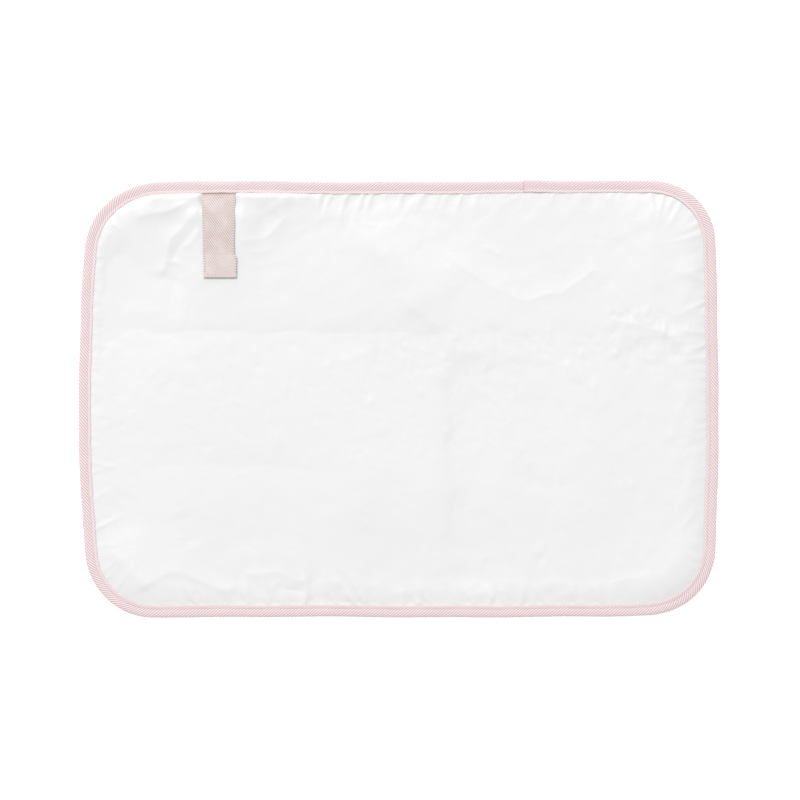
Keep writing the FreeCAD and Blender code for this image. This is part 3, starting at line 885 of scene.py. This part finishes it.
# the wadding's top keeps below the lowest place of the cover round each of its points
lowest = np.minimum.reduce([front[i::2, j::2, 2][:back_x.shape[0] - 1, :back_x.shape[1] - 1]
                            for i in (0, 1) for j in (0, 1)])
fill_top = back.copy()
fill_top[..., 2] = np.inf
for di in (0, 1):
    for dj in (0, 1):
        part = fill_top[di:di + lowest.shape[0], dj:dj + lowest.shape[1], 2]
        np.minimum(part, lowest - WADDING_GAP, out=part)
fill_top[..., 2] = np.maximum(fill_top[..., 2], back[..., 2] + 0.4)
fill_low = back.copy()
fill_low[..., 2] += 0.15
fill_quads = grid_faces(*back_x.shape)
fill_quads = fill_quads[(back_inset.ravel()[fill_quads] > COVER_HEM_INSET + 3).all(axis=1)]
fill_above = back_y.ravel()[fill_quads].mean(axis=1) > 0


def wadding_half(name, quads):
    layers = fill_top.reshape(-1, 3), fill_low.reshape(-1, 3)
    return make_mesh(name, closed_between(*layers, back_uv.reshape(-1, 2), quads), FIBRE)


fill_upper = wadding_half("wadding_upper_half", fill_quads[fill_above])
fill_lower = wadding_half("wadding_lower_half", fill_quads[~fill_above])
fold_with(fill_upper, fill_lower)
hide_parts("wadding_upper", "wadding_middle")
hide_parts("wadding_lower")

# ---------------------------------------------------------------- binding tape

# the folded tape's section: inset and height, from the turned edge on the face, round the rim, to the back;
# above its middle it leans and swells with the wadding
SECTION = [
    (11.35, 2.62), (11.52, 2.82), (11.35, 3.02), (10.7, 3.14), (9.9, 3.12), (9.0, 2.98), (8.2, 2.84),
    (7.5, 2.92), (6.4, 3.14), (5.0, 3.36), (3.6, 3.46), (2.3, 3.42), (1.2, 3.2), (0.5, 2.8), (0.12, 2.25),
    (0.0, 1.6), (0.28, 0.98), (0.9, 0.46), (1.9, 0.14), (3.2, 0.02), (6.0, 0.0), (7.5, 0.06), (8.2, 0.32),
    (9.0, 0.06), (11.3, 0.08), (11.6, 0.36), (11.4, 0.66), (9.6, 0.72), (6.0, 0.70), (2.2, 0.72),
    (1.1, 1.6), (2.2, 2.54), (6.0, 2.58), (9.6, 2.58),
]
SECTION_MIDDLE = 1.6
TAPE_STEP = 1.2
# where the tape's ends meet, how far they overlap, and the height and length of the rise there
JOIN_X = 118.0
JOIN_OVERLAP = 14.0
JOIN_RISE = 0.55
JOIN_RUN = 16.0


def tape_wobble(place):
    """Slow unevenness of the hand-fed tape, the same after a full turn."""
    turn = 2 * math.pi * place / RIM_LENGTH
    low_run = smooth(place, rim_at(-200, -204), rim_at(-120, -204))
    low_run = low_run * smooth(-place, -rim_at(220, -204), -rim_at(160, -204))
    ripple = 0.16 * np.sin(23 * turn + 1.0) + 0.12 * np.sin(61 * turn) + 0.09 * np.sin(137 * turn + 2.0)
    return ripple - 0.5 * low_run


def join_lift(before_join):
    """Rise of the tape towards the place where it lies on its other end."""
    return JOIN_RISE * (1.0 - smooth(before_join, JOIN_OVERLAP, JOIN_OVERLAP + JOIN_RUN))


def tape_tilt(x, y):
    """How much the tape leans outwards, where the wadding fills the edge on the right and at the front."""
    return np.maximum(1.1 * smooth(x, 200.0, 285.0), 0.55 * smooth(-y, 120.0, 195.0))


def tape_strip(points, normals, place, lift, raised):
    """Sweeps the section along part of the edge. lift pushes the strip out and up where it lies on another
    end, and raised lifts only its face."""
    section = np.array(SECTION)
    inset_line, height_line = section[None, :, 0], section[None, :, 1]
    share = inset_line / BINDING_WIDTH
    upper_side = height_line > SECTION_MIDDLE
    swell = (1.0 + 0.05 * np.sin(place / 7.3) + 0.04 * np.sin(place / 3.9 + 1.0))[:, None]
    lean = tape_tilt(points[:, 0], points[:, 1])[:, None] * (share - 0.5)
    tall = height_line + upper_side * (height_line - SECTION_MIDDLE) * (swell - 1.0 + lean)
    tall = tall + upper_side * (lift[:, None] + smooth(inset_line, 0.5, 5.0) * raised[:, None])
    inset_by = inset_line + share ** 2 * tape_wobble(place)[:, None] - lift[:, None]
    flat = points[:, None, :] - normals[:, None, :] * inset_by[..., None]
    over = np.concatenate([[0.0], np.cumsum(np.linalg.norm(np.diff(section, axis=0), axis=1))])
    uv = np.stack(np.broadcast_arrays(place[:, None], over[None, :]), -1) * MM
    return settle(np.concatenate([flat, tall[..., None]], -1)), uv


def strip_parts(swept, uv, cap_start, cap_end):
    """Points, faces and texture places of an open strip, with the asked-for ends capped."""
    sides = len(SECTION)
    faces = grid_faces(*swept.shape[:2], closed=True)[:, ::-1].tolist()
    last = (len(swept) - 1) * sides
    if cap_start:
        faces.append(list(range(sides)))
    if cap_end:
        faces.append(list(range(last, last + sides))[::-1])
    return swept.reshape(-1, 3), faces, uv.reshape(-1, 2)


tape_points, tape_normals, tape_left = outline(TAPE_STEP)
tape_at, _ = distances(tape_points)
tape_points = np.concatenate([tape_points, tape_points[:1]])
tape_normals = np.concatenate([tape_normals, tape_normals[:1]])
top_run = (tape_points[:, 1] > 0) & (np.abs(tape_normals[:, 1] - 1) < 1e-6)
join_index = int(np.nonzero(top_run & (tape_points[:, 0] < JOIN_X))[0][0])
overlap = int(JOIN_OVERLAP / TAPE_STEP)


def over_tab(px):
    """How much the tape rises where it passes over the sewn end of the tab."""
    return 0.62 * (1.0 - smooth(beside_tab(px), -1.0, 3.5))


def strip_between(first, last, lift=0.0):
    pick = slice(first, last + 1)
    amount = np.zeros(last + 1 - first) + lift
    raised = np.where(top_run[pick], over_tab(tape_points[pick, 0]), 0.0)
    return tape_strip(tape_points[pick], tape_normals[pick], tape_at[pick], amount, raised)


lapped = strip_between(0, join_index, join_lift(tape_at[join_index] - tape_at[:join_index + 1]))
beneath = strip_between(join_index - overlap, tape_left)
front_run = strip_between(tape_left, len(tape_points) - 1)
upper_tape = add_up([strip_parts(*lapped, False, True), strip_parts(*beneath, True, False)])
tape_upper = make_mesh("binding_upper_half", upper_tape, TAPE)
tape_lower = make_mesh("binding_lower_half", strip_parts(*front_run, False, False), TAPE)
fold_with(tape_upper, tape_lower)
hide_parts("binding_upper", "binding_left", "binding_right")
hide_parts("binding_lower")

# ---------------------------------------------------------------- stitches

STITCH_LENGTH = 2.4
STITCH_PITCH = 3.0
THREAD_RADIUS = 0.21
STITCH_SIDES = 6
# share along the stitch and how far it stands out, in thread radii
STITCH_ARCH = [(-0.5, -1.3), (-0.4, -0.1), (-0.2, 0.75), (0.0, 0.95), (0.2, 0.75), (0.4, -0.1), (0.5, -1.3)]


def stitches(centres, directions, up, length=STITCH_LENGTH):
    """Points, faces and texture places of one short arched thread per stitch."""
    centres, directions = np.asarray(centres, float), np.asarray(directions, float)
    directions = directions / np.linalg.norm(directions, axis=1, keepdims=True)
    up = np.broadcast_to(np.asarray(up, float), centres.shape)
    side = np.cross(directions, up)
    rings = []
    for share, out in STITCH_ARCH:
        thin = 0.55 if abs(share) > 0.45 else 1.0
        middle = centres + directions * share * length + up * out * THREAD_RADIUS
        turn = np.linspace(0, 2 * math.pi, STITCH_SIDES, endpoint=False)
        around = side[:, None, :] * np.cos(turn)[:, None] + up[:, None, :] * np.sin(turn)[:, None]
        rings.append(middle[:, None, :] + around * THREAD_RADIUS * thin)
    points = np.stack(rings, 1)
    one = grid_faces(len(STITCH_ARCH), STITCH_SIDES, closed=True)
    size = len(STITCH_ARCH) * STITCH_SIDES
    faces = (one[None] + size * np.arange(len(centres))[:, None, None]).reshape(-1, 4)
    uv = np.stack([points[..., 0] + points[..., 2], points[..., 1] + points[..., 2]], -1) * MM
    return points.reshape(-1, 3), faces, uv.reshape(-1, 2)


def seam_stitches(upper):
    """Topstitching on the face and its underside along one half of the edge."""
    start, end = (0.0, tape_at[tape_left]) if upper else (tape_at[tape_left], RIM_LENGTH)
    place = np.arange(start + STITCH_PITCH / 2, end - STITCH_PITCH / 4, STITCH_PITCH)
    px, py, nx, ny = (np.interp(place, tape_at, column) for column in (*tape_points.T, *tape_normals.T))
    inset_by = SEAM_INSET + (SEAM_INSET / BINDING_WIDTH) ** 2 * tape_wobble(place)
    flat = np.stack([px - nx * inset_by, py - ny * inset_by], -1)
    tangent = np.stack([-ny, nx, np.zeros(len(place))], -1)
    height = SEAM_TOP + 1.24 * tape_tilt(px, py) * (SEAM_INSET / BINDING_WIDTH - 0.5)
    if upper:
        before_join = tape_at[join_index] - place
        height = height + np.where(before_join > 0, join_lift(before_join), 0.0)
        height = height + np.where(ny > 0.99, over_tab(px), 0.0)
    top = settle(np.concatenate([flat, height[:, None]], -1))
    bottom = settle(np.concatenate([flat, np.full((len(place), 1), SEAM_BOTTOM)], -1))
    return add_up([stitches(top, tangent, (0, 0, 1)),
                   stitches(bottom, tangent, (0, 0, -1), STITCH_LENGTH * 0.8)])


thread_upper = make_mesh("binding_thread_upper_half", seam_stitches(True), THREAD)
thread_lower = make_mesh("binding_thread_lower_half", seam_stitches(False), THREAD)
fold_with(thread_upper, thread_lower)
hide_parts("binding_thread_upper", "binding_thread_middle")
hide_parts("binding_thread_lower")

# ---------------------------------------------------------------- closing tab

TAB_THICK = 0.85
# distance from the mat's middle and height of the webbing's underside, from the sewn end to the free end
TAB_LINE = [
    (TAB_ROOT, 2.56), (196.0, 2.56), (191.0, 2.6), (188.0, 3.1), (184.0, 4.3), (176.0, 5.9), (166.0, 6.9),
    (154.0, 7.25), (142.0, 7.5), (136.0, 7.7), (124.0, 7.72), (TAB_END, 7.72),
]
# the webbing's edges, which pull in above the sewn end
TAB_LEFT_EDGE = [(113.0, -182.4), (135.0, -182.4), (191.0, -184.3), (TAB_ROOT, -184.4)]
TAB_RIGHT_EDGE = [
    (113.0, -151.4), (132.5, -151.5), (136.0, -153.6), (165.0, -153.2), (191.0, -152.8), (TAB_ROOT, -152.8),
]
# seam round the hook patch: distance from the webbing's sides and free end, of its far run, and its height
TAB_SEAM_INSET = 2.6
TAB_SEAM_FAR = 21.4
TAB_SEAM_HEIGHT = 8.62
TAB_SEAM_DEPTH = 0.16
TAB_CELL = 0.33


def tab_height(y):
    line = np.array(TAB_LINE)[::-1]
    fine = np.linspace(TAB_END, TAB_ROOT, 400)
    level = np.interp(fine, line[:, 0], line[:, 1])
    kernel = np.hanning(17)
    level = np.convolve(np.pad(level, 8, mode="edge"), kernel / kernel.sum(), mode="valid")
    return np.interp(y, fine, level)


def tab_surface():
    """Closed strip of webbing with raised twill ribs, beaded edges and a heat-sealed end."""
    length_line = np.arange(TAB_END, TAB_ROOT, TAB_CELL)
    width_line = np.arange(-TAB_WIDTH / 2, TAB_WIDTH / 2 + TAB_CELL / 2, TAB_CELL)
    u, v = np.meshgrid(width_line, length_line, indexing="ij")
    from_end = v - TAB_END
    edge = TAB_WIDTH / 2 - np.abs(u)
    rib = 0.5 + 0.5 * np.sin(2 * math.pi * (u / TWILL_ACROSS + from_end / TWILL_ALONG))
    float_yarn = 0.5 + 0.5 * np.sin(2 * math.pi * (-u * 0.82 + from_end * 0.56))
    relief = 0.24 * rib ** 0.8 + 0.07 * float_yarn * rib
    bead = 0.5 - 0.5 * np.sin(2 * math.pi * from_end / 2.4)
    selvedge = 1.0 - smooth(edge, 1.5, 2.5)
    relief = relief * (1 - selvedge) + selvedge * (0.02 + 0.26 * bead)
    crossed = 0.5 + 0.25 * np.sin(2 * math.pi * (u / 1.5 + from_end / 1.5)) \
        + 0.25 * np.sin(2 * math.pi * (u / 1.5 - from_end / 1.5))
    sealed = 1.0 - smooth(from_end, 4.5, 6.5)
    relief = relief * (1 - sealed) + sealed * 0.16 * crossed
    round_edge = 0.30 * np.exp(-edge / 0.35) + 0.42 * np.exp(-from_end / 0.6)
    over_patch = 0.16 * (1 - smooth(from_end, 21.0, 24.0)) * smooth(edge, 0.4, 3.0)
    beside_seam = np.minimum(edge, from_end) - TAB_SEAM_INSET
    seam = np.exp(-(beside_seam / 0.5) ** 2) * (from_end < TAB_SEAM_FAR + 0.6)
    seam += np.exp(-((from_end - TAB_SEAM_FAR) / 0.5) ** 2) * (edge > TAB_SEAM_INSET)
    cup = 0.10 * np.sin(v / 9.0) * (u / 15.0) ** 2 + 0.08 * np.sin(v / 14.0 + 1.0) * u / 15.0
    under = tab_height(v) + cup * smooth(194.0 - v, 0, 12)
    flattened = 1 - 0.55 * smooth(v, 186.0, 191.5)
    top = under + (TAB_THICK + relief + over_patch - TAB_SEAM_DEPTH * seam) * flattened - round_edge
    bottom = under + 0.5 * round_edge
    left = np.interp(v, *zip(*TAB_LEFT_EDGE)) + 0.12 * np.sin(v / 6.0)
    right = np.interp(v, *zip(*TAB_RIGHT_EDGE)) + 0.12 * np.sin(v / 5.0)
    px = left + (right - left) * (u / TAB_WIDTH + 0.5)
    points, faces, uv = closed_plate(px, v, top, bottom, (u, from_end))
    return settle(points), faces, uv


tab = make_mesh("tab_webbing_strip", tab_surface(), WEBBING)
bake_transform(tab)
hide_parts("tab_webbing", "tab_sewn_end")


def rectangle_stitches(centre, width, length, height, up):
    """Stitches round a rectangle."""
    centres, directions = [], []
    for start, end in (((-1, -1), (1, -1)), ((1, -1), (1, 1)), ((1, 1), (-1, 1)), ((-1, 1), (-1, -1))):
        a = np.array([start[0] * width / 2, start[1] * length / 2])
        b = np.array([end[0] * width / 2, end[1] * length / 2])
        number = max(1, int(round(np.linalg.norm(b - a) / STITCH_PITCH)))
        for step in range(number):
            middle = a + (b - a) * (step + 0.5) / number
            centres.append((centre[0] + middle[0], centre[1] + middle[1], height))
            directions.append((*(b - a), 0.0))
    return stitches(centres, directions, up)


free_end_x = (TAB_LEFT_EDGE[0][1] + TAB_RIGHT_EDGE[0][1]) / 2
seam_points, seam_faces, seam_uv = rectangle_stitches(
    (free_end_x, TAB_END + (TAB_SEAM_INSET + TAB_SEAM_FAR) / 2),
    TAB_WIDTH - 2 * TAB_SEAM_INSET, TAB_SEAM_FAR - TAB_SEAM_INSET, TAB_SEAM_HEIGHT, (0, 0, 1))
tab_thread = make_mesh("tab_thread", (settle(seam_points), seam_faces, seam_uv), THREAD)
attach(tab_thread, "closing_tab")
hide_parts("hook_patch_thread")


def patch_plate(low, high, cell, relief):
    """A thin closed plate with soft edges, whose lower side carries a relief."""
    across = np.arange(low[0], high[0] + cell / 2, cell)
    lengthwise = np.arange(low[1], high[1] + cell / 2, cell)
    u, v = np.meshgrid(across, lengthwise, indexing="ij")
    edge = np.minimum(np.minimum(u - low[0], high[0] - u), np.minimum(v - low[1], high[1] - v))
    outer = low[2] + 0.25 * np.exp(-edge / 0.5) + relief(u, v)
    return closed_plate(u, v, np.full(u.shape, high[2]), outer, (u, v))


# a hook from its foot to its tip, how far it leans over and its height; its thickness and sides; and the
# spacing and margins of the field
HOOK_BEND = [(0.0, 7.40), (0.0, 7.18), (0.08, 7.02), (0.26, 6.94), (0.42, 7.02), (0.46, 7.12)]
HOOK_RADIUS = 0.11
HOOK_SIDES = 5
HOOK_PITCH = (1.45, 1.30)
HOOK_MARGIN = (1.2, 0.9)
hook_low, hook_high = (np.array(corner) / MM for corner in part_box("hook_patch"))


def hook_field():
    """Rows of small bent hooks standing down from the patch, every other row turned round."""
    xs, ys = (np.arange(low + HOOK_MARGIN[0], high - HOOK_MARGIN[1], pitch)
              for low, high, pitch in zip(hook_low, hook_high, HOOK_PITCH))
    px, py = (grid.ravel() for grid in np.meshgrid(xs, ys, indexing="ij"))
    turned = np.where(np.round((px - xs[0]) / HOOK_PITCH[0]) % 2 == 0, 1.0, -1.0)
    turn = np.linspace(0, 2 * math.pi, HOOK_SIDES, endpoint=False)
    points = np.stack([
        np.stack([
            px[:, None] + HOOK_RADIUS * np.cos(turn),
            py[:, None] + (turned * lean)[:, None] + HOOK_RADIUS * np.sin(turn),
            np.full((len(px), HOOK_SIDES), height),
        ], -1)
        for lean, height in HOOK_BEND], 1)
    one = grid_faces(len(HOOK_BEND), HOOK_SIDES, closed=True)[:, ::-1]
    faces = (one[None] + len(HOOK_BEND) * HOOK_SIDES * np.arange(len(px))[:, None, None]).reshape(-1, 4)
    return points.reshape(-1, 3), faces, points[..., :2].reshape(-1, 2) * MM


hook_base = patch_plate(
    (hook_low[0], hook_low[1], hook_high[2] - 0.42), hook_high, 0.9, lambda u, v: 0.03 * np.sin(u * 4.3))
hook_points, hook_faces, hook_uv = add_up([hook_base, hook_field()])
hook_patch = make_mesh("hook_patch_hooks", (settle(hook_points), hook_faces, hook_uv), HOOKS)
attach(hook_patch, "closing_tab")
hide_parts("hook_patch")

# ---------------------------------------------------------------- loop patch on the back

loop_low, loop_high = (np.array(corner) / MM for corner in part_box("loop_patch"))
LOOP_CELL = 0.42


def pile(u, v):
    """Tangled pile: a few crossed waves and fine random tufts."""
    tufts = random.random(u.shape) * 0.14
    return 0.10 + 0.06 * np.sin(u * 2.1 + np.sin(v * 1.3)) * np.sin(v * 2.4 + np.sin(u * 1.7)) + tufts


loop_patch = make_mesh("loop_patch_pile", patch_plate(loop_low, loop_high, LOOP_CELL, pile), LOOPS)
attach(loop_patch, "middle_panel")
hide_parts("loop_patch")
loop_middle = (loop_low + loop_high) / 2
loop_width, loop_length = (loop_high - loop_low)[:2] - 2.4
loop_seam = rectangle_stitches(loop_middle[:2], loop_width, loop_length, 0.30, (0, 0, -1))
loop_thread = make_mesh("loop_patch_stitches", loop_seam, THREAD)
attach(loop_thread, "middle_panel")
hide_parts("loop_patch_thread")

# ---------------------------------------------------------------- floor, light and camera

FLOOR_HALF = 6.0
FLOOR_LEVEL = -0.0003
floor_mesh = bpy.data.meshes.new("floor")
floor_mesh.from_pydata(
    [(x * FLOOR_HALF, y * FLOOR_HALF, FLOOR_LEVEL) for x, y in ((-1, -1), (1, -1), (1, 1), (-1, 1))],
    [], [(0, 1, 2, 3)])
floor_mesh.materials.append(floor_material())
floor = add_object("floor", floor_mesh)

key_light = bpy.data.lights.new("key", "AREA")
key_light.shape = "SQUARE"
key_light.size = 8.0
key_light.energy = 2065.0
key = add_object("key", key_light)
key.location = (-3.5, 8.8, 13.2)
key.rotation_mode = "QUATERNION"
key.rotation_quaternion = (-key.location).to_track_quat("-Z", "Y")

world = bpy.data.worlds.new("studio")
world.use_nodes = True
sky = world.node_tree.nodes["Background"].inputs
sky["Color"].default_value = (1.0, 1.0, 1.0, 1.0)
sky["Strength"].default_value = 0.585
bpy.context.scene.world = world

camera_data = bpy.data.cameras.new("camera")
camera_data.lens = 190.0
camera_data.sensor_width = 36.0
camera_data.clip_end = 50.0
FRAME_WIDTH = 0.7500
camera_height = FRAME_WIDTH * camera_data.lens / camera_data.sensor_width
camera = add_object("camera", camera_data)
camera.location = (0.0014, -0.0012, camera_height)
bpy.context.scene.camera = camera
bpy.context.scene.view_settings.view_transform = "Standard"
